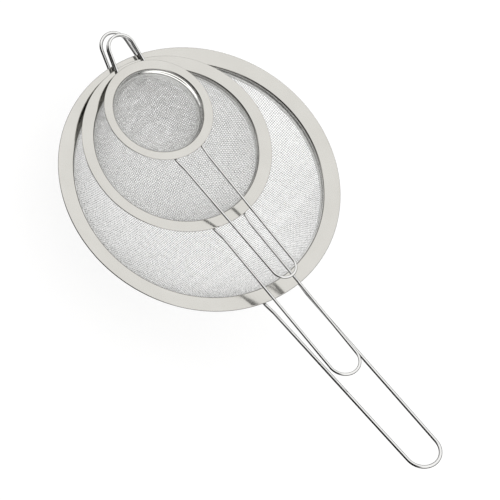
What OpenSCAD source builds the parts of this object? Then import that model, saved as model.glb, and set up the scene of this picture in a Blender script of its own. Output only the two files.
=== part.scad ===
// Nesting set of three wire-mesh sieves, each with a coned rim, a woven bowl, a wire handle and a rest hook.
// The origin is the centre of the large rim's outer edge, +X runs along the handle and +Z is up.

/* [Rims] */
// Outside diameter of the large rim
large_rim_d = 200; // [196:1:206]
// Outside diameter of the medium rim
medium_rim_d = 134.6; // [132:0.2:136]
// Outside diameter of the small rim
small_rim_d = 77.2; // [75:0.2:78]
// Width of the large flange, from its outer edge to the mouth
large_flange_w = 11.2; // [10:0.1:12]
// Width of the medium flange
medium_flange_w = 8.9; // [8.4:0.1:9.2]
// Width of the small flange
small_flange_w = 6.4; // [6:0.1:7]
// Angle at which the large and medium flanges rise outwards
flange_rise = 15; // [13:0.5:16]
// Angle at which the small flange rises outwards
small_flange_rise = 6; // [5:0.5:8]
// Radius of the bend between a flange and its band
mouth_bend_r = 1.5; // [1.2:0.1:2]

/* [Bands] */
// Height of the band below the large mouth
large_band_h = 6.4; // [6:0.1:7]
// Height of the band below the medium mouth
medium_band_h = 5.4; // [5:0.1:6.5]
// Height of the band below the small mouth
small_band_h = 9; // [8:0.1:10]
// How far the large and medium bands lean inwards
band_lean = 1.1; // [0.8:0.1:1.4]
// How far the small band leans inwards
small_band_lean = 3; // [2.6:0.1:3.4]

/* [Bowls] */
// Depth of the large bowl below its rim
large_bowl_depth = 65; // [58:1:68]
// Depth of the medium bowl
medium_bowl_depth = 48; // [42:1:50]
// Depth of the small bowl
small_bowl_depth = 32; // [28:1:34]

/* [Handles] */
// Length of the large handle beyond its rim, along its slope
large_handle_l = 157.8; // [140:0.2:175]
// Length of the medium handle
medium_handle_l = 138.4; // [125:0.2:150]
// Length of the small handle
small_handle_l = 113.8; // [100:0.2:120]
// Angle at which the large handle rises
large_handle_rise = 15.4; // [14.5:0.1:17]
// Angle at which the medium handle rises
medium_handle_rise = 12.7; // [12:0.1:15]
// Angle at which the small handle rises
small_handle_rise = 9.2; // [8:0.1:12]
// Wire diameter of the large sieve
large_wire_d = 2.3; // [2:0.1:2.4]
// Wire diameter of the medium sieve
medium_wire_d = 2; // [1.8:0.1:2]
// Wire diameter of the small sieve
small_wire_d = 1.8; // [1.6:0.1:1.8]

/* [Rest hooks] */
// Length of the large hook beyond its rim, along its slope
large_hook_l = 22.9; // [20:0.1:26]
// Length of the medium hook
medium_hook_l = 22.3; // [20:0.1:25]
// Length of the small hook
small_hook_l = 23.6; // [20:0.1:25]
// Angle at which the hooks rise
hook_rise = 15.2; // [15:0.1:18]

/* [Nesting] */
// Centre of the medium sieve, over the large one
medium_centre = [-28.2, -2.2, 2.7]; // [-60:0.1:60]
// Centre of the small sieve
small_centre = [-54.4, -1.7, 5.7]; // [-60:0.1:60]
// Turn of the medium sieve about its own axis
medium_turn = -0.9; // [-1.5:0.1:1.5]
// Turn of the small sieve
small_turn = 1.2; // [-1.5:0.1:1.5]

/* [Hidden] */
$fn = 96;

sheet_colour = [0.86, 0.86, 0.84];
band_colour = [0.72, 0.72, 0.71];
mesh_colour = [0.78, 0.79, 0.79];
wire_colour = [0.80, 0.80, 0.80];
weld_colour = [0.45, 0.45, 0.46];

large_centre = [0, 0, 0];
large_turn = 0.2;
bend_steps = 6;         // straight steps around each rounded edge of a sheet
bowl_steps = 24;        // straight steps from a band to the bottom of its bowl
clamp_top = 1.6;        // distance from the mouth down to the top of the clamp band
root_gap = 2.4;         // distance from the mouth out to the ends of the welded wires
splay_l = 8;            // stretch beyond the rim over which the handle legs draw in
splay_bend_r = 15;      // bend radius where that stretch ends
weld_width = 1.1;       // width of a weld spot, in wire diameters
weld_inset = 0.3;       // distance of a weld spot from the end of the wire
weld_gap = 0.03;        // keeps a weld spot's curved faces off the wire and the rim
weld_reach = 2;         // extra height that is cut back to the underside of the rim
nudge_step = 0.00002;
groove_l = 6;           // length of the groove that the wire takes out of a weld spot
end_gap = 0.1;          // space between a hem and the wire under it
shortest = 0.01;        // a straight length below this is left out

// A sieve is [rim radius, flange width, flange rise, band height, band lean, sheet, mesh, clamp, hem width].
function rim_r(s) = s[0];
function mouth_r(s) = s[0] - s[1];
function rise(s) = s[2];
function sheet_t(s) = s[5];
function mesh_t(s) = s[6];
function clamp_t(s) = s[7];
function hem_w(s) = s[8];
function band_angle(s) = atan(s[4] / s[3]);
function band_l(s) = norm([s[3], s[4]]);

large = [large_rim_d / 2, large_flange_w, flange_rise, large_band_h, band_lean, 0.6, 0.5, 0.5, 2.4];
medium = [medium_rim_d / 2, medium_flange_w, flange_rise, medium_band_h, band_lean, 0.5, 0.45, 0.45, 2];
small = [
    small_rim_d / 2, small_flange_w, small_flange_rise, small_band_h, small_band_lean, 0.45, 0.4, 0.35, 1.4
];

// Directions in a rim's profile, as [radius, height].
function flange_in(s) = [-cos(rise(s)), -sin(rise(s))];
function flange_up(s) = [-sin(rise(s)), cos(rise(s))];
function band_down(s) = [-sin(band_angle(s)), -cos(band_angle(s))];
function band_inward(s) = [-cos(band_angle(s)), sin(band_angle(s))];

// The sheet is folded under at the rim's edge. The fold's centre lies on the underside of the upper layer.
function hem_centre(s) = [rim_r(s) - sheet_t(s), -sheet_t(s)];
function hem_end(s) = hem_centre(s) + flange_in(s) * hem_w(s);
function underside(s, r) = hem_centre(s)[1] + (r - hem_centre(s)[0]) * tan(rise(s));

// Where the top of the flange and the inside of the band would meet, and the centre of the bend between them.
function mouth(s) = [mouth_r(s), underside(s, mouth_r(s)) + sheet_t(s) / cos(rise(s))];
function bend_centre(s) =
    mouth(s) - mouth_bend_r * (flange_up(s) + band_inward(s)) / (1 + flange_up(s) * band_inward(s));
function polar(angle) = [cos(angle), sin(angle)];

// A point beside the band: down its length, and outwards from its inner face.
function beside_band(s, down, out) = mouth(s) + band_down(s) * down - band_inward(s) * out;

// Points of an arc, both ends included.
function arc(centre, r, from, to, steps) =
    [for (i = [0:steps]) centre + r * polar(from + (to - from) * i / steps)];

function rim_outline(s) = concat(
    arc(hem_centre(s), sheet_t(s), rise(s) - 90, rise(s) + 90, bend_steps),
    arc(bend_centre(s), mouth_bend_r, rise(s) + 90, 180 - band_angle(s), bend_steps),
    [beside_band(s, band_l(s), 0), beside_band(s, band_l(s), sheet_t(s))],
    arc(bend_centre(s), mouth_bend_r - sheet_t(s), 180 - band_angle(s), rise(s) + 90, bend_steps),
    [hem_end(s), hem_end(s) - flange_up(s) * sheet_t(s)]
);

module rim(s) {
    color(sheet_colour) rotate_extrude() polygon(rim_outline(s));
}

module clamp_band(s) {
    inner = sheet_t(s) + mesh_t(s);
    outer = inner + clamp_t(s);
    color(band_colour)
        rotate_extrude()
            polygon([
                beside_band(s, clamp_top, inner), beside_band(s, clamp_top, outer),
                beside_band(s, band_l(s), outer), beside_band(s, band_l(s), inner)
            ]);
}

// The bowl is a cap of a sphere, hung from the collar that lies on the outside of the band.
function cap_edge(s) = beside_band(s, band_l(s) + mesh_t(s), sheet_t(s) + mesh_t(s) / 2);
function cap_drop(s, depth) = cap_edge(s)[1] + depth;
function cap_r(s, depth) = (pow(cap_edge(s)[0], 2) + pow(cap_drop(s, depth), 2)) / (2 * cap_drop(s, depth));
function cap_centre(s, depth) = [0, cap_r(s, depth) - depth];
function cap_start(s, depth) = -acos(cap_edge(s)[0] / cap_r(s, depth));

module mesh_bowl(s, depth) {
    centre = cap_centre(s, depth);
    r = cap_r(s, depth);
    start = cap_start(s, depth);
    outside = arc(centre, r + mesh_t(s) / 2, start, -90, bowl_steps);
    inside = arc(centre, r - mesh_t(s) / 2, -90, start, bowl_steps);
    collar_inside = [beside_band(s, band_l(s), sheet_t(s)), beside_band(s, clamp_top, sheet_t(s))];
    collar_outside = [
        beside_band(s, clamp_top, sheet_t(s) + mesh_t(s)),
        beside_band(s, band_l(s), sheet_t(s) + mesh_t(s))
    ];
    color(mesh_colour) rotate_extrude() polygon(concat(collar_inside, collar_outside, outside, inside));
}

// A list of corners turned into a path: the turn at each corner and the straight lengths left between bends.
function unit(v) = v / norm(v);
function heading(v) = atan2(v[1], v[0]);
function leg(points, i) = unit(points[i + 1] - points[i]);
function turn(points, i) =
    let (a = leg(points, i - 1), b = leg(points, i)) atan2(a[0] * b[1] - a[1] * b[0], a * b);
function setback(points, bends, i) =
    i == 0 || i == len(points) - 1 ? 0 : bends[i - 1] * tan(abs(turn(points, i)) / 2);
function length(points, bends, i) =
    norm(points[i + 1] - points[i]) - setback(points, bends, i) - setback(points, bends, i + 1);

// Each turn is nudged by up to 0.01 degree, to where its sine and cosine still make a true rotation when they
// are rounded to six digits. The pieces of a wire then meet face to face.
function rounded(x) = let (unit_size = pow(10, 5 - floor(log(abs(x))))) round(x * unit_size) / unit_size;
function misfit(angle) = abs(pow(rounded(cos(angle)), 2) + pow(rounded(sin(angle)), 2) - 1);
function nudged(angle) =
    let (tries = [for (i = [-500:500]) angle + i * nudge_step], misfits = [for (t = tries) misfit(t)])
    tries[search(min(misfits), misfits)[0]];

// A quarter turn or less of a ring, cut by the planes in which the straight lengths on its two sides end.
// The ring's and the lengths' start lines are turned to one side of the wire, so that they meet.
module bend(r, turned, d) {
    intersection() {
        rotate_extrude() translate([r, 0]) rotate(turned > 0 ? 180 : 0) circle(d = d);
        translate([0, -2 * r, -d]) cube([2 * r, 4 * r, 2 * d]);
        rotate(abs(turned)) translate([-2 * r, -2 * r, -d]) cube([2 * r, 4 * r, 2 * d]);
    }
}

// The rest of a wire from corner i on. Each piece starts where the last one ended, heading along +X.
module wire_on(points, bends, d, i) {
    l = length(points, bends, i);
    if (l > shortest)
        rotate([0, 90, 0])
            rotate(90)
                cylinder(d = d, h = l);
    if (i < len(points) - 2) {
        turned = nudged(turn(points, i + 1));
        r = bends[i];
        side = [0, sign(turned) * r, 0];
        translate([max(l, 0), 0, 0])
            translate(side) {
                mirror([0, turned > 0 ? 0 : 1, 0]) bend(r, turned, d);
                rotate(turned)
                    translate(-side)
                        wire_on(points, bends, d, i + 1);
            }
    }
}

// A loop is one wire, the same on both sides. Its points run from the middle of its end to one root.
module loop(points, bends, d) {
    for (flip = [0, 1])
        mirror([0, flip, 0])
            translate([points[0][0], points[0][1], 0])
                rotate(-90)
                    wire_on(points, bends, d, 0);
}

// A loop lies in a plane that tilts up from the edge of its rim. [0, 0] in that plane is under the edge.
function wire_drop(s, w) = 2 * sheet_t(s) + wire_d(w) / 2 + end_gap;
function root_x(s, w) =
    (sqrt(pow(mouth_r(s) + root_gap, 2) - pow(half_w(w, 0), 2)) - rim_r(s)) / cos(loop_rise(w));

module tilted(s, w) {
    translate([rim_r(s), 0, -wire_drop(s, w)])
        rotate([0, -loop_rise(w), 0])
            children();
}

// The bend at the end takes up the whole width there, so the end is round.
function end_bend(points) = abs(points[1][1]) / tan(abs(turn(points, 1)) / 2);

// A loop is [wire diameter, length beyond the rim, rise, turn from its usual direction, widths].
// Widths are between the legs' centre lines. A handle's are at its roots, at the rim, past the splay and at
// its end. A hook's are at its roots and at its end.
function wire_d(w) = w[0];
function loop_end(w) = w[1] - w[0] / 2;
function loop_rise(w) = w[2];
function half_w(w, i) = w[4][i] / 2;

function handle_points(s, w) = [
    [loop_end(w), 0], [loop_end(w), -half_w(w, 3)], [splay_l, -half_w(w, 2)],
    [0, -half_w(w, 1)], [root_x(s, w), -half_w(w, 0)]
];
function hook_points(s, w) = [[loop_end(w), 0], [loop_end(w), -half_w(w, 1)], [root_x(s, w), -half_w(w, 0)]];

module wire_loop(s, w, points, splays) {
    color(wire_colour)
        rotate(w[3])
            tilted(s, w)
                loop(points, concat([end_bend(points)], splays), wire_d(w));
}

module handle(s, w) { wire_loop(s, w, handle_points(s, w), [splay_bend_r, splay_bend_r]); }
module rest_hook(s, w) { wire_loop(s, w, hook_points(s, w), []); }

// Weld spots fill the gap between the flange and a loop's two roots. Their tops follow the flange and the hem.
function weld_r(w) = wire_d(w) * weld_width / 2;
function hem_underside(s, r) = underside(s, r) - sheet_t(s) / cos(rise(s));

module above_rim(s) {
    step = hem_end(s)[0] - weld_gap;
    reach = rim_r(s) + 1;
    top = 8;
    rotate_extrude()
        polygon([
            [0, underside(s, 0) - weld_gap], [step, underside(s, step) - weld_gap],
            [step, hem_underside(s, step) - weld_gap], [reach, hem_underside(s, reach) - weld_gap],
            [reach, top], [0, top]
        ]);
}

module both_roots(points) {
    last = len(points) - 1;
    for (flip = [0, 1])
        mirror([0, flip, 0])
            translate([points[last][0], points[last][1], 0])
                rotate(heading(points[last - 1] - points[last]))
                    children();
}

module welds(s, w, points) {
    color(weld_colour)
        rotate(w[3])
            difference() {
                tilted(s, w)
                    both_roots(points)
                        translate([weld_r(w) + weld_inset, 0, 0])
                            cylinder(r = weld_r(w), h = wire_drop(s, w) + weld_reach);
                above_rim(s);
                tilted(s, w)
                    both_roots(points)
                        translate([-1, 0, 0])
                            rotate([0, 90, 0])
                                cylinder(d = wire_d(w) + 2 * weld_gap, h = groove_l);
            }
}

module handle_welds(s, w) { welds(s, w, handle_points(s, w)); }
module hook_welds(s, w) { welds(s, w, hook_points(s, w)); }

large_grip = [large_wire_d, large_handle_l, large_handle_rise, 0, [30.2, 30.2, 28.6, 24]];
medium_grip = [medium_wire_d, medium_handle_l, medium_handle_rise, 0, [25.6, 25.6, 23.2, 21.6]];
small_grip = [small_wire_d, small_handle_l, small_handle_rise, 0, [22.4, 22.4, 20.7, 17.2]];
large_rest = [large_wire_d, large_hook_l, hook_rise, 180, [26, 18]];
medium_rest = [medium_wire_d, medium_hook_l, hook_rise, 178.5, [24, 17.6]];
small_rest = [small_wire_d, small_hook_l, hook_rise, 176.4, [23, 17.6]];

module place(centre, turned) {
    translate(centre)
        rotate(turned)
            children();
}

module large_rim() { place(large_centre, large_turn) rim(large); }
module large_clamp_band() { place(large_centre, large_turn) clamp_band(large); }
module large_mesh_bowl() { place(large_centre, large_turn) mesh_bowl(large, large_bowl_depth); }
module large_handle() { place(large_centre, large_turn) handle(large, large_grip); }
module large_handle_welds() { place(large_centre, large_turn) handle_welds(large, large_grip); }
module large_rest_hook() { place(large_centre, large_turn) rest_hook(large, large_rest); }
module large_hook_welds() { place(large_centre, large_turn) hook_welds(large, large_rest); }

module medium_rim() { place(medium_centre, medium_turn) rim(medium); }
module medium_clamp_band() { place(medium_centre, medium_turn) clamp_band(medium); }
module medium_mesh_bowl() { place(medium_centre, medium_turn) mesh_bowl(medium, medium_bowl_depth); }
module medium_handle() { place(medium_centre, medium_turn) handle(medium, medium_grip); }
module medium_handle_welds() { place(medium_centre, medium_turn) handle_welds(medium, medium_grip); }
module medium_rest_hook() { place(medium_centre, medium_turn) rest_hook(medium, medium_rest); }
module medium_hook_welds() { place(medium_centre, medium_turn) hook_welds(medium, medium_rest); }

module small_rim() { place(small_centre, small_turn) rim(small); }
module small_clamp_band() { place(small_centre, small_turn) clamp_band(small); }
module small_mesh_bowl() { place(small_centre, small_turn) mesh_bowl(small, small_bowl_depth); }
module small_handle() { place(small_centre, small_turn) handle(small, small_grip); }
module small_handle_welds() { place(small_centre, small_turn) handle_welds(small, small_grip); }
module small_rest_hook() { place(small_centre, small_turn) rest_hook(small, small_rest); }
module small_hook_welds() { place(small_centre, small_turn) hook_welds(small, small_rest); }

large_rim();
large_clamp_band();
large_mesh_bowl();
large_handle();
large_handle_welds();
large_rest_hook();
large_hook_welds();
medium_rim();
medium_clamp_band();
medium_mesh_bowl();
medium_handle();
medium_handle_welds();
medium_rest_hook();
medium_hook_welds();
small_rim();
small_clamp_band();
small_mesh_bowl();
small_handle();
small_handle_welds();
small_rest_hook();
small_hook_welds();
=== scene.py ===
from math import acos, atan2, cos, degrees, pi, radians, sin, sqrt

import bmesh
import bpy
from mathutils import Matrix, Vector


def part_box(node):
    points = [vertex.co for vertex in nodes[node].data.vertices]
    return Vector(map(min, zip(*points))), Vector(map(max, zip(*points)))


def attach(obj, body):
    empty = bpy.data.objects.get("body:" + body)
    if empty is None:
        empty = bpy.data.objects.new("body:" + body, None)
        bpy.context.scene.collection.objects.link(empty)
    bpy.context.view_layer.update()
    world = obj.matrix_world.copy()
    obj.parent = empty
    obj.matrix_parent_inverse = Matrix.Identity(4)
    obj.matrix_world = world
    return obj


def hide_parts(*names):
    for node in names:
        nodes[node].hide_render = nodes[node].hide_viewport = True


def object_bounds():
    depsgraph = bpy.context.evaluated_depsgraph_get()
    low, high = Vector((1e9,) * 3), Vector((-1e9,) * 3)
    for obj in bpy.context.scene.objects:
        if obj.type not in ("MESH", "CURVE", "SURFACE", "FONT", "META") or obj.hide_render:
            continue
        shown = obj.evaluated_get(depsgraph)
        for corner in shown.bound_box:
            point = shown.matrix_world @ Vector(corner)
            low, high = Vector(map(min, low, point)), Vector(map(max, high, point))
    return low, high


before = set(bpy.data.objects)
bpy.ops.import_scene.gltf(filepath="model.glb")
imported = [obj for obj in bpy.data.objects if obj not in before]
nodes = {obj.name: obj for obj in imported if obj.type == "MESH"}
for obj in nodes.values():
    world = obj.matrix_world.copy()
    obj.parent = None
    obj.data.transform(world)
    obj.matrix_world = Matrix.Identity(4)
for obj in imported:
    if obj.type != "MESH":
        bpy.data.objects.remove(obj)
cad_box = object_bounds()


# ---------------------------------------------------------------------------
# The rims. Each is stamped from one disc of stainless sheet: a flange that
# cones upwards, its edge folded under, and a short band turned down inside it.
# The flange is satin, with fine rings from the spinning brush, the band bright.
# Both colours are painted: the band near white, a painted highlight, and the
# flange darker, painted shade that offsets the bright dome it mirrors.
# ---------------------------------------------------------------------------

def new_material(name, colour, roughness, metallic=1.0):
    """A metal with its own shader, to which each section adds its marks."""
    material = bpy.data.materials.new(name)
    material.use_nodes = True
    shader = material.node_tree.nodes["Principled BSDF"]
    shader.inputs["Base Color"].default_value = (*colour, 1)
    shader.inputs["Roughness"].default_value = roughness
    shader.inputs["Metallic"].default_value = metallic
    return material, shader


def socket(group, name, direction, kind, value=None):
    """Adds one named input or output to a shader group."""
    made = group.interface.new_socket(name=name, in_out=direction, socket_type=kind)
    if value is not None:
        made.default_value = value


def arithmetic(tree, operation, first, second=None):
    """A Math node between two sockets or numbers, and its result."""
    node = tree.nodes.new("ShaderNodeMath")
    node.operation = operation
    for place, value in enumerate((first, second)):
        if value is None:
            continue
        if isinstance(value, (int, float)):
            node.inputs[place].default_value = value
        else:
            tree.links.new(value, node.inputs[place])
    return node.outputs[0]


def spread(tree, value, low, high):
    """A value from 0 to 1 spread between two others."""
    node = tree.nodes.new("ShaderNodeMapRange")
    node.inputs["To Min"].default_value = low
    node.inputs["To Max"].default_value = high
    tree.links.new(value, node.inputs["Value"])
    return node.outputs["Result"]


def tint(tree, mask, colour, other):
    """A colour that runs from one to another along a mask."""
    node = tree.nodes.new("ShaderNodeMix")
    node.data_type = "RGBA"
    node.inputs["A"].default_value = (*colour, 1)
    node.inputs["B"].default_value = (*other, 1)
    tree.links.new(mask, node.inputs["Factor"])
    return node.outputs["Result"]


def noise(tree, vector, scale, detail=3.0, roughness=0.55):
    """A noise pattern's value at a position."""
    node = tree.nodes.new("ShaderNodeTexNoise")
    node.inputs["Scale"].default_value = scale
    node.inputs["Detail"].default_value = detail
    node.inputs["Roughness"].default_value = roughness
    tree.links.new(vector, node.inputs["Vector"])
    return node.outputs["Fac"]


def spun_finish():
    """Fine rings round an axis, with slow cloudy patches."""
    group = bpy.data.node_groups.new("spun_finish", "ShaderNodeTree")
    socket(group, "Position", "INPUT", "NodeSocketVector")
    socket(group, "Rings per metre", "INPUT", "NodeSocketFloat", 2600.0)
    socket(group, "Rings", "OUTPUT", "NodeSocketFloat")
    socket(group, "Clouds", "OUTPUT", "NodeSocketFloat")
    start = group.nodes.new("NodeGroupInput")
    end = group.nodes.new("NodeGroupOutput")
    apart = group.nodes.new("ShaderNodeSeparateXYZ")
    group.links.new(start.outputs["Position"], apart.inputs[0])
    across = arithmetic(group, "MULTIPLY", apart.outputs["X"], apart.outputs["X"])
    along = arithmetic(group, "MULTIPLY", apart.outputs["Y"], apart.outputs["Y"])
    radius = arithmetic(group, "SQRT", arithmetic(group, "ADD", across, along))
    around = arithmetic(group, "ARCTAN2", apart.outputs["Y"], apart.outputs["X"])
    together = group.nodes.new("ShaderNodeCombineXYZ")
    rings = start.outputs["Rings per metre"]
    breaks_per_radian = 1.6
    group.links.new(arithmetic(group, "MULTIPLY", radius, rings), together.inputs["X"])
    group.links.new(arithmetic(group, "MULTIPLY", apart.outputs["Z"], rings), together.inputs["Y"])
    group.links.new(arithmetic(group, "MULTIPLY", around, breaks_per_radian), together.inputs["Z"])
    group.links.new(noise(group, together.outputs[0], 1.0, 4.0, 0.7), end.inputs["Rings"])
    group.links.new(noise(group, start.outputs["Position"], 38.0, 3.0), end.inputs["Clouds"])
    return group


def position(tree, centre=(0, 0, 0)):
    """Object coordinates, centred on a point."""
    coordinates = tree.nodes.new("ShaderNodeTexCoord")
    moved = tree.nodes.new("ShaderNodeMapping")
    moved.inputs["Location"].default_value = tuple(-c for c in centre)
    tree.links.new(coordinates.outputs["Object"], moved.inputs["Vector"])
    return moved.outputs["Vector"]


def bump(tree, height, shader, strength, distance):
    """Raises a height on the surface."""
    node = tree.nodes.new("ShaderNodeBump")
    node.inputs["Strength"].default_value = strength
    node.inputs["Distance"].default_value = distance
    tree.links.new(height, node.inputs["Height"])
    tree.links.new(node.outputs["Normal"], shader.inputs["Normal"])


def dress(node, material):
    """Gives a CAD node its finish."""
    mesh = nodes[node].data
    mesh.materials.clear()
    mesh.materials.append(material)


def arc(centre, radius, start, finish, steps):
    """Points round an arc in a profile, both ends included. Angles are in degrees."""
    found = []
    for step in range(steps + 1):
        angle = radians(start + (finish - start) * step / steps)
        found.append((centre[0] + radius * cos(angle), centre[1] + radius * sin(angle)))
    return found


def rim_section(edge_r, mouth_r, rise, band, lean, sheet, bead, hem_w):
    """The outline of a rim cut through: folded edge, cone, bend, and a band with a bead swaged inwards."""
    bend_r = 0.0015
    slope = radians(rise)
    band_turn = atan2(lean, band)
    band_l = sqrt(band ** 2 + lean ** 2)
    flange_in, flange_up = Vector((-cos(slope), -sin(slope))), Vector((-sin(slope), cos(slope)))
    down, inward = Vector((-sin(band_turn), -cos(band_turn))), Vector((-cos(band_turn), sin(band_turn)))
    fold = Vector((edge_r - sheet, -sheet))
    mouth = Vector((mouth_r, fold.y + (mouth_r - fold.x) * sin(slope) / cos(slope) + sheet / cos(slope)))
    bend = mouth - bend_r * (flange_up + inward) / (1 + flange_up.dot(inward))
    top_angle, side_angle = rise + 90, 180 - degrees(band_turn)
    outline = arc(fold, sheet, rise - 90, top_angle, 10)
    outline += arc(bend, bend_r, top_angle, side_angle, 12)
    start = (bend + inward * bend_r - mouth).dot(down)
    rows = 15
    for step in range(1, rows):
        share = step / rows
        swell = bead * sin(pi * share) ** 2
        outline.append(tuple(mouth + down * (start + (band_l - start - sheet / 2) * share) + inward * swell))
    lip = mouth + down * (band_l - sheet / 2) - inward * sheet / 2
    lip_angle = degrees(atan2(inward.y, inward.x))
    outline += arc(lip, sheet / 2, lip_angle, lip_angle + 180, 8)
    outline += arc(bend, bend_r - sheet, side_angle, top_angle, 8)
    tail = fold + flange_in * hem_w - flange_up * sheet / 2
    outline += arc(tail, sheet / 2, rise + 90, rise + 270, 6)
    return outline


def spun_piece(name, outline, centre, steps=192):
    """A closed outline spun all the way round a sieve's axis."""
    shape = bmesh.new()
    corners = [shape.verts.new((r, 0, z)) for r, z in outline]
    edges = [shape.edges.new((corners[i - 1], corners[i])) for i in range(len(corners))]
    bmesh.ops.spin(shape, geom=corners + edges, cent=(0, 0, 0), axis=(0, 0, 1), dvec=(0, 0, 0),
                   angle=2 * pi, steps=steps, use_merge=True)
    bmesh.ops.remove_doubles(shape, verts=shape.verts, dist=1e-6)
    bmesh.ops.recalc_face_normals(shape, faces=shape.faces)
    bmesh.ops.translate(shape, verts=shape.verts, vec=centre)
    mesh = bpy.data.meshes.new(name)
    shape.to_mesh(mesh)
    shape.free()
    mesh.shade_smooth()
    mesh.set_sharp_from_angle(angle=radians(40))
    piece = bpy.data.objects.new(name, mesh)
    bpy.context.scene.collection.objects.link(piece)
    return piece


spun = spun_finish()
sieve_centre = {}
# Painted shade and highlight: one sheet in two colours. The flange is darker to offset the bright dome it
# mirrors, and the band is near white to brighten its reflections. The flange's slow clouds are tone that
# differs at random.
flange_dark, flange_light = (0.43, 0.423, 0.40), (0.50, 0.493, 0.472)
band_painted_highlight = (0.95, 0.95, 0.94, 1)
bend_depth = 0.0012
# Radius of each rim's edge and of its mouth, the cone's rise, the band's height and lean, the sheet, the bead
# and the folded edge.
rims = {
    "large": (0.1000, 0.0888, 15, 0.0064, 0.0011, 0.0006, 0.0007, 0.0024),
    "medium": (0.0673, 0.0584, 15, 0.0054, 0.0011, 0.0005, 0.0006, 0.0020),
    "small": (0.0386, 0.0322, 6, 0.0090, 0.0030, 0.00045, 0.0006, 0.0014),
}
for sieve, (edge_r, mouth_r, rise, band, lean, sheet, bead, hem_w) in rims.items():
    low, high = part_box(sieve + "_rim")
    sieve_centre[sieve] = ((low[0] + high[0]) / 2, (low[1] + high[1]) / 2, high[2])
    outline = rim_section(edge_r, mouth_r, rise, band, lean, sheet, bead, hem_w)
    piece = spun_piece(sieve + "_stamped_rim", outline, sieve_centre[sieve])
    material, shader = new_material(sieve + "_rim_sheet", (0.70, 0.69, 0.655), 0.14)
    tree = material.node_tree
    marks = tree.nodes.new("ShaderNodeGroup")
    marks.node_tree = spun
    centred = position(tree, sieve_centre[sieve])
    tree.links.new(centred, marks.inputs["Position"])
    apart = tree.nodes.new("ShaderNodeSeparateXYZ")
    tree.links.new(centred, apart.inputs[0])
    flange_foot = -(edge_r - mouth_r) * sin(radians(rise)) - bend_depth
    flange = arithmetic(tree, "GREATER_THAN", apart.outputs["Z"], flange_foot)
    # Painted highlight and shade: below the flange's foot the band takes the near-white colour, and above it
    # the flange takes the darker clouded one.
    painted_sheet_tone = tree.nodes.new("ShaderNodeMix")
    painted_sheet_tone.data_type = "RGBA"
    painted_sheet_tone.inputs["A"].default_value = band_painted_highlight
    tree.links.new(flange, painted_sheet_tone.inputs["Factor"])
    tree.links.new(tint(tree, marks.outputs["Clouds"], flange_dark, flange_light), painted_sheet_tone.inputs["B"])
    tree.links.new(painted_sheet_tone.outputs["Result"], shader.inputs["Base Color"])
    dull = arithmetic(tree, "MULTIPLY", marks.outputs["Clouds"], marks.outputs["Rings"])
    satin = arithmetic(tree, "MULTIPLY", flange, spread(tree, dull, 0.06, 0.16))
    tree.links.new(arithmetic(tree, "ADD", satin, 0.05), shader.inputs["Roughness"])
    bump(tree, marks.outputs["Rings"], shader, 0.1, 0.00003)
    piece.data.materials.append(material)
    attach(piece, sieve + "_sieve")
    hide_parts(sieve + "_rim")


# ---------------------------------------------------------------------------
# The bowls. Square wire cloth, plain weave, is pressed over a dome: the wires
# keep their spacing, so the squares shear into diamonds up the four diagonals.
# The cut edge runs up between the rim's band and the clamp band.
# ---------------------------------------------------------------------------

def cloth_net(radius, pitch, reach):
    """Where the wires of cloth on a ball cross, out from the bottom, as directions from the ball's centre."""
    step = pitch / radius
    count = int(reach / step) + 2
    net = {}
    for i in range(-count, count + 1):
        net[i, 0] = Vector((sin(i * step), 0, -cos(i * step)))
        net[0, i] = Vector((0, sin(i * step), -cos(i * step)))
    for side_x in (1, -1):
        for side_y in (1, -1):
            for total in range(2, 2 * count + 1):
                for i in range(1, total):
                    j = total - i
                    a = net.get((side_x * i, side_y * (j - 1)))
                    b = net.get((side_x * (i - 1), side_y * j))
                    o = net.get((side_x * (i - 1), side_y * (j - 1)))
                    if a is None or b is None or o is None or max(-a.z, -b.z) < cos(reach + 3 * step):
                        continue
                    across = a.cross(b).normalized()
                    net[side_x * i, side_y * j] = o - 2 * o.dot(across) * across
    return net, count


def cloth(name, sieve, turned, ball, pitch, wire, collar, first):
    """The wires of a bowl that run one way. ball is its radius and centre height. collar is the radius
    and height where the ball meets the band, then the collar's way up and its length."""
    radius, ball_z = ball
    collar_r, collar_z, (up_r, up_z), collar_l = collar
    edge = acos((ball_z - collar_z) / radius)
    net, count = cloth_net(radius, pitch, edge + collar_l / radius)
    centre = Vector(sieve_centre[sieve])
    turn = Matrix.Rotation(turned, 4, "Z")
    data = bpy.data.curves.new(name, "CURVE")
    data.dimensions = "3D"
    data.bevel_depth = wire / 2
    data.bevel_resolution = 0
    data.use_fill_caps = True
    for row in range(-count, count + 1):
        points = []
        for i in range(-count, count + 1):
            way = net.get((i, row) if first else (row, i))
            if way is None:
                continue
            down = acos(max(-1.0, min(1.0, -way.z)))
            wave = wire / 2 if ((i + row) % 2 == 0) == first else -wire / 2
            if down <= edge:
                point = Vector((0, 0, ball_z)) + way * (radius + wave)
            else:
                past = (down - edge) * radius
                if past > collar_l:
                    continue
                out = Vector((way.x, way.y, 0)).normalized()
                point = out * (collar_r + up_r * past + wave) + Vector((0, 0, collar_z + up_z * past))
            points.append(turn @ point + centre)
        if len(points) < 2:
            continue
        spline = data.splines.new("POLY")
        spline.points.add(len(points) - 1)
        for place, point in zip(spline.points, points):
            place.co = (*point, 1)
    drawn = bpy.data.objects.new(name + "_path", data)
    bpy.context.scene.collection.objects.link(drawn)
    mesh = bpy.data.meshes.new_from_object(drawn.evaluated_get(bpy.context.evaluated_depsgraph_get()))
    bpy.data.objects.remove(drawn)
    mesh.name = name
    mesh.shade_smooth()
    piece = bpy.data.objects.new(name, mesh)
    bpy.context.scene.collection.objects.link(piece)
    return piece


def ball_of(edge_r, edge_z, depth):
    """Radius and centre height of the ball that a bowl is part of."""
    drop = edge_z + depth
    radius = (edge_r ** 2 + drop ** 2) / (2 * drop)
    return radius, radius - depth


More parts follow.
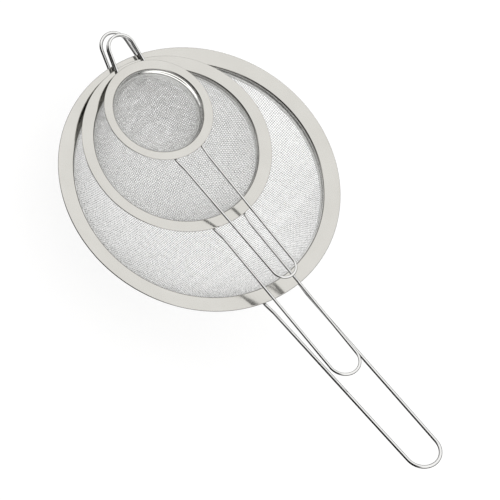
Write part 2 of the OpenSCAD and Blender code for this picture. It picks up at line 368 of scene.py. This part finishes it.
mesh_wire, shader = new_material("mesh_wire", (0.9, 0.9, 0.89), 0.24, 0.5)
tree = mesh_wire.node_tree
place = position(tree)
# Painted glints and shade: fine noise spots the wires from dark grey to white, standing in for glints and
# shadows in the weave.
painted_glint_shade = spread(tree, noise(tree, place, 620.0, 2.0), -1.1, 2.1)
tree.links.new(tint(tree, painted_glint_shade, (0.3, 0.3, 0.29), (1.0, 1.0, 0.99)), shader.inputs["Base Color"])
tree.links.new(spread(tree, noise(tree, place, 900.0, 2.0), 0.18, 0.32), shader.inputs["Roughness"])

# Radius and height of each bowl's top edge, its depth, the cloth's pitch and wire, the way and length of the
# collar above the edge, and how far the cloth is turned.
bowls = {
    "large": (0.08839, -0.00973, 0.065, 0.00150, 0.00028, (0.169, 0.986), 0.0048, 12.0),
    "medium": (0.05789, -0.00810, 0.048, 0.00150, 0.00027, (0.200, 0.980), 0.0037, 38.0),
    "small": (0.02967, -0.01006, 0.032, 0.00146, 0.00026, (0.316, 0.949), 0.0075, 14.0),
}
for sieve, (edge_r, edge_z, depth, pitch, wire, up, collar_l, turned) in bowls.items():
    ball = ball_of(edge_r, edge_z, depth)
    collar = (edge_r, edge_z, up, collar_l)
    for name, first in (("_warp", True), ("_weft", False)):
        piece = cloth(sieve + name, sieve, radians(turned), ball, pitch, wire, collar, first)
        piece.data.materials.append(mesh_wire)
        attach(piece, sieve + "_sieve")
        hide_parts(sieve + "_mesh_bowl")


# ---------------------------------------------------------------------------
# The clamp bands. A strip of bright stainless is rolled round the outside of
# each band and pressed on, and nips the edge of the cloth.
# ---------------------------------------------------------------------------

strip_dark, strip_light = (0.70, 0.70, 0.69), (0.80, 0.80, 0.79)
for sieve in ("large", "medium", "small"):
    material, shader = new_material(sieve + "_clamp_strip", (0.78, 0.78, 0.77), 0.2)
    tree = material.node_tree
    marks = tree.nodes.new("ShaderNodeGroup")
    marks.node_tree = spun
    tree.links.new(position(tree, sieve_centre[sieve]), marks.inputs["Position"])
    tree.links.new(tint(tree, marks.outputs["Clouds"], strip_dark, strip_light), shader.inputs["Base Color"])
    tree.links.new(spread(tree, marks.outputs["Rings"], 0.14, 0.3), shader.inputs["Roughness"])
    bump(tree, marks.outputs["Rings"], shader, 0.2, 0.00004)
    dress(sieve + "_clamp_band", material)


# ---------------------------------------------------------------------------
# The handles and rest hooks. Each is one length of hard drawn stainless wire,
# bent to a loop and tumbled bright.
# ---------------------------------------------------------------------------

bright_wire, shader = new_material("bright_wire", (0.6, 0.6, 0.6), 0.1)
tree = bright_wire.node_tree
place = position(tree)
wire_dark, wire_light = (0.54, 0.54, 0.54), (0.66, 0.66, 0.65)
tree.links.new(tint(tree, noise(tree, place, 90.0), wire_dark, wire_light), shader.inputs["Base Color"])
fine = noise(tree, place, 700.0, 4.0, 0.7)
tree.links.new(spread(tree, fine, 0.02, 0.1), shader.inputs["Roughness"])
bump(tree, fine, shader, 0.12, 0.00003)
for sieve in ("large", "medium", "small"):
    dress(sieve + "_handle", bright_wire)
    dress(sieve + "_rest_hook", bright_wire)


# ---------------------------------------------------------------------------
# The spot welds. Two small spots of melted steel hold each wire's ends under
# the flange. They are dull, rough and stained brown by the heat.
# ---------------------------------------------------------------------------

weld_metal, shader = new_material("weld_metal", (0.42, 0.40, 0.37), 0.5)
tree = weld_metal.node_tree
place = position(tree)
stained, clean = (0.20, 0.17, 0.15), (0.60, 0.57, 0.52)
tree.links.new(tint(tree, noise(tree, place, 900.0), stained, clean), shader.inputs["Base Color"])
bump(tree, noise(tree, place, 1500.0), shader, 0.6, 0.0002)
for sieve in ("large", "medium", "small"):
    dress(sieve + "_handle_welds", weld_metal)
    dress(sieve + "_hook_welds", weld_metal)


# ---------------------------------------------------------------------------
# The floor, the light and the camera. The floor is white paper that glows evenly.
# In reflections only it is painted: bright near the middle and nearly black further out,
# a painted reflection. The room is bright all round, with one dark patch in front and
# a little above, which draws the edges of the wires.
# ---------------------------------------------------------------------------

floor_mesh = bpy.data.meshes.new("floor")
shape = bmesh.new()
bmesh.ops.create_grid(shape, x_segments=1, y_segments=1, size=4)
bmesh.ops.translate(shape, verts=shape.verts, vec=(0, 0, cad_box[0][2] - 0.0005))
shape.to_mesh(floor_mesh)
shape.free()
floor = bpy.data.objects.new("floor", floor_mesh)
bpy.context.scene.collection.objects.link(floor)
paper_glow, glow_share = 1.06, 0.72
# Painted reflection: in reflections only, the floor glows bright within 0.1 m of the middle and fades to
# nearly black beyond 0.17 m.
reflection_bright_r, reflection_dark_r = 0.1, 0.17
paper, shader = new_material("floor_paper", (0.96, 0.96, 0.96), 0.9, 0.0)
tree = paper.node_tree
seen = tree.nodes.new("ShaderNodeLightPath")
glow = tree.nodes.new("ShaderNodeEmission")
glow.inputs["Strength"].default_value = paper_glow
painted_reflection = tree.nodes.new("ShaderNodeEmission")
apart = tree.nodes.new("ShaderNodeSeparateXYZ")
tree.links.new(position(tree), apart.inputs[0])
across = arithmetic(tree, "MULTIPLY", apart.outputs["X"], apart.outputs["X"])
along = arithmetic(tree, "MULTIPLY", apart.outputs["Y"], apart.outputs["Y"])
painted_reflection_falloff = tree.nodes.new("ShaderNodeMapRange")
painted_reflection_falloff.interpolation_type = "SMOOTHSTEP"
painted_reflection_falloff.inputs["From Min"].default_value = reflection_dark_r
painted_reflection_falloff.inputs["From Max"].default_value = reflection_bright_r
painted_reflection_falloff.inputs["To Min"].default_value = 0.015
painted_reflection_falloff.inputs["To Max"].default_value = 0.85
tree.links.new(arithmetic(tree, "SQRT", arithmetic(tree, "ADD", across, along)), painted_reflection_falloff.inputs["Value"])
tree.links.new(painted_reflection_falloff.outputs["Result"], painted_reflection.inputs["Strength"])
paper_mix = tree.nodes.new("ShaderNodeMixShader")
paper_mix.inputs["Fac"].default_value = glow_share
gloss_mix = tree.nodes.new("ShaderNodeMixShader")
tree.links.new(shader.outputs["BSDF"], paper_mix.inputs[1])
tree.links.new(glow.outputs[0], paper_mix.inputs[2])
# Painted reflection: glossy rays see the falloff glow, and all other rays see the evenly glowing paper.
tree.links.new(seen.outputs["Is Glossy Ray"], gloss_mix.inputs["Fac"])
tree.links.new(paper_mix.outputs[0], gloss_mix.inputs[1])
tree.links.new(painted_reflection.outputs[0], gloss_mix.inputs[2])
tree.links.new(gloss_mix.outputs[0], tree.nodes["Material Output"].inputs["Surface"])
floor.data.materials.append(paper)

world = bpy.data.worlds.new("studio")
bpy.context.scene.world = world
world.use_nodes = True
tree = world.node_tree
background = tree.nodes["Background"]
way = tree.nodes.new("ShaderNodeTexCoord")
apart = tree.nodes.new("ShaderNodeSeparateXYZ")
tree.links.new(way.outputs["Generated"], apart.inputs[0])
dome = tree.nodes.new("ShaderNodeMapRange")
dome.interpolation_type = "SMOOTHSTEP"
dome.inputs["From Min"].default_value = 0.0
dome.inputs["From Max"].default_value = 0.5
dome.inputs["To Min"].default_value = 0.5
dome.inputs["To Max"].default_value = 1.5
tree.links.new(apart.outputs["Z"], dome.inputs["Value"])
patch_y, patch_z = -0.866, 0.5
forward = arithmetic(tree, "MULTIPLY", apart.outputs["Y"], patch_y)
upward = arithmetic(tree, "MULTIPLY", apart.outputs["Z"], patch_z)
room = tree.nodes.new("ShaderNodeMapRange")
room.interpolation_type = "SMOOTHSTEP"
room.inputs["From Min"].default_value = 0.62
room.inputs["From Max"].default_value = 0.90
room.inputs["To Min"].default_value = 1.0
room.inputs["To Max"].default_value = 0.02
tree.links.new(arithmetic(tree, "ADD", forward, upward), room.inputs["Value"])
strength = arithmetic(tree, "MULTIPLY", dome.outputs["Result"], room.outputs["Result"])
tree.links.new(strength, background.inputs["Strength"])
background.inputs["Color"].default_value = (1.0, 0.995, 0.985, 1)
bpy.context.scene.view_settings.view_transform = "Standard"

camera_data = bpy.data.cameras.new("camera")
camera = bpy.data.objects.new("camera", camera_data)
bpy.context.scene.collection.objects.link(camera)
camera_data.lens = 122.4
camera_data.sensor_width = 36
camera_data.clip_start = 0.01
turned, raised, rolled = radians(23.0), radians(61.72), radians(35.21)
right = Vector((cos(turned), sin(turned), 0))
back = Vector((sin(turned) * cos(raised), -cos(turned) * cos(raised), sin(raised)))
up = back.cross(right)
frame_right = right * cos(rolled) + up * sin(rolled)
frame_up = up * cos(rolled) - right * sin(rolled)
beside, above, away = 0.032603, -0.051496, 1.16699
stand = frame_right * beside + frame_up * above + back * away
camera.matrix_world = Matrix((
    (frame_right.x, frame_up.x, back.x, stand.x),
    (frame_right.y, frame_up.y, back.y, stand.y),
    (frame_right.z, frame_up.z, back.z, stand.z),
    (0, 0, 0, 1),
))
bpy.context.scene.camera = camera
